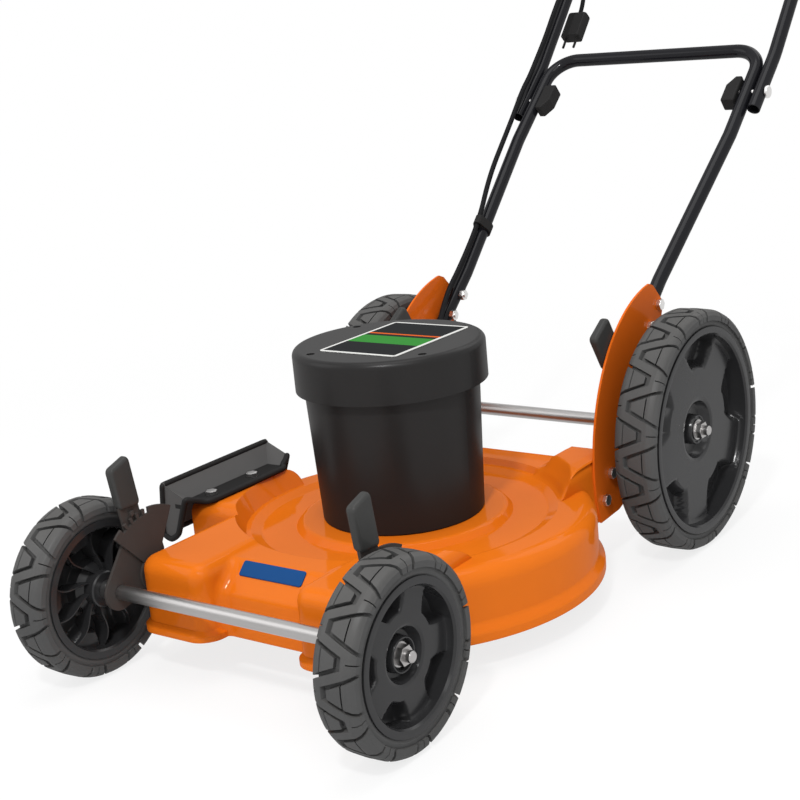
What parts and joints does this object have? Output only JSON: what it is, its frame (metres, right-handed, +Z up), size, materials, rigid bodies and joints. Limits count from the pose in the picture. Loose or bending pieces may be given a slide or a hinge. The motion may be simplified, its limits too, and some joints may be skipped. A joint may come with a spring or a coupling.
{
  "type": "electric rotary lawn mower",
  "caption": "Walk-behind electric rotary lawn mower with a pressed steel deck, upright motor, side discharge hood, height levers and a folding tube handle.",
  "frame": {"origin": "on the ground, on the axis of the motor and the blade, with all four wheels resting on the ground", "axes": "+Z up, +Y towards the handle, +X to the right of the mower seen from the front, so the discharge hood is on the -X side"},
  "size_m": [0.5267, 1.4611, 0.9682],
  "materials": {
    "deck_paint": "satin",
    "bracket_paint": "satin",
    "hood_plastic": "matte",
    "plate_paint": "satin",
    "zinc": "satin",
    "motor_plastic": "matte",
    "motor_alloy": "cast",
    "motor_steel": "satin",
    "winding": "enamelled",
    "small_plastic": "matte",
    "handle_paint": "gloss",
    "blade_steel": "satin",
    "cord_rubber": "matte",
    "grip_rubber": "matte",
    "switch_red": "gloss",
    "tyre": "matte",
    "rim_plastic": "satin",
    "bush_plastic": "satin"
  },
  "bodies": {
    "chassis": {"deck": "deck_paint", "discharge_hood": "hood_plastic", "rear_bracket_left": "bracket_paint", "rear_bracket_right": "bracket_paint", "front_quadrants": "plate_paint", "rear_quadrants": "plate_paint", "frame_bolts": "zinc", "motor_screws": "zinc", "motor_housing": "motor_plastic", "motor_cap": "motor_plastic", "motor_frame": "motor_alloy", "upper_end_bell": "motor_alloy", "stator_core": "motor_steel", "stator_windings": "winding", "motor_bearings": "motor_steel", "run_capacitor": "small_plastic", "cable_gland": "motor_plastic", "lower_handle": "handle_paint", "fold_bolts": "zinc", "cable_clip": "small_plastic", "motor_lead": "cord_rubber", "fold_loop": "cord_rubber"},
    "rotor": {"rotor_shaft": "motor_steel", "rotor_core": "motor_steel", "cooling_fan": "small_plastic", "blade_hub": "motor_alloy", "cutting_blade": "blade_steel", "blade_bolt": "zinc"},
    "front_carrier": {"front_axle": "zinc", "front_levers": "plate_paint", "front_grips": "small_plastic", "front_axle_fittings": "zinc"},
    "rear_carrier": {"rear_axle": "zinc", "rear_levers": "plate_paint", "rear_grips": "small_plastic", "rear_axle_fittings": "zinc"},
    "front_left_wheel": {"front_left_tyre": "tyre", "front_left_rim": "rim_plastic", "front_left_bush": "bush_plastic"},
    "front_right_wheel": {"front_right_tyre": "tyre", "front_right_rim": "rim_plastic", "front_right_bush": "bush_plastic"},
    "rear_left_wheel": {"rear_left_tyre": "tyre", "rear_left_rim": "rim_plastic", "rear_left_bush": "bush_plastic"},
    "rear_right_wheel": {"rear_right_tyre": "tyre", "rear_right_rim": "rim_plastic", "rear_right_bush": "bush_plastic"},
    "upper_handle_set": {"upper_handle": "handle_paint", "handle_grip": "grip_rubber", "switch_base": "small_plastic", "switch_cover": "small_plastic", "switch_lead": "cord_rubber", "pigtail": "cord_rubber", "plug": "small_plastic"},
    "left_knob": {"fold_knob_left": "small_plastic"},
    "right_knob": {"fold_knob_right": "small_plastic"},
    "switch_lever_body": {"switch_lever": "switch_red"},
    "lock_button_body": {"lock_button": "switch_red"}
  },
  "joints": [
    {"name": "rotor_spin", "type": "hinge", "parent": "chassis", "child": "rotor", "pos_m": [0, 0, 0.062], "axis": [0, 0, 1], "continuous": true},
    {"name": "front_height", "type": "hinge", "parent": "chassis", "child": "front_carrier", "pos_m": [0, -0.262, 0.109], "axis": [1, 0, 0], "range_deg": [-15, 15]},
    {"name": "rear_height", "type": "hinge", "parent": "chassis", "child": "rear_carrier", "pos_m": [0, 0.259, 0.15], "axis": [1, 0, 0], "range_deg": [-15, 15]},
    {"name": "front_left_roll", "type": "hinge", "parent": "front_carrier", "child": "front_left_wheel", "pos_m": [-0.217, -0.315, 0.103], "axis": [1, 0, 0], "continuous": true},
    {"name": "front_right_roll", "type": "hinge", "parent": "front_carrier", "child": "front_right_wheel", "pos_m": [0.217, -0.315, 0.103], "axis": [1, 0, 0], "continuous": true},
    {"name": "rear_left_roll", "type": "hinge", "parent": "rear_carrier", "child": "rear_left_wheel", "pos_m": [-0.228, 0.312, 0.154], "axis": [1, 0, 0], "continuous": true},
    {"name": "rear_right_roll", "type": "hinge", "parent": "rear_carrier", "child": "rear_right_wheel", "pos_m": [0.228, 0.312, 0.154], "axis": [1, 0, 0], "continuous": true},
    {"name": "handle_fold", "type": "hinge", "parent": "chassis", "child": "upper_handle_set", "pos_m": [0, 0.64801, 0.54462], "axis": [1, 0, 0], "range_deg": [0, 145], "deforming": ["fold_loop"]},
    {"name": "left_knob_turn", "type": "hinge", "parent": "chassis", "child": "left_knob", "pos_m": [-0.15, 0.64801, 0.54462], "axis": [1, 0, 0], "continuous": true},
    {"name": "right_knob_turn", "type": "hinge", "parent": "chassis", "child": "right_knob", "pos_m": [0.15, 0.64801, 0.54462], "axis": [1, 0, 0], "continuous": true},
    {"name": "switch_press", "type": "hinge", "parent": "upper_handle_set", "child": "switch_lever_body", "pos_m": [-0.192, 0.85767, 0.80044], "axis": [-1, 0, 0], "range_deg": [0, 7], "stiffness_Nm_per_rad": 0.5, "springref_deg": -8.59},
    {"name": "lock_press", "type": "slide", "parent": "upper_handle_set", "child": "lock_button_body", "axis": [0, 0.7431, -0.6691], "range_m": [0, 0.004], "stiffness_N_per_m": 300, "springref_m": -0.004}
  ]
}
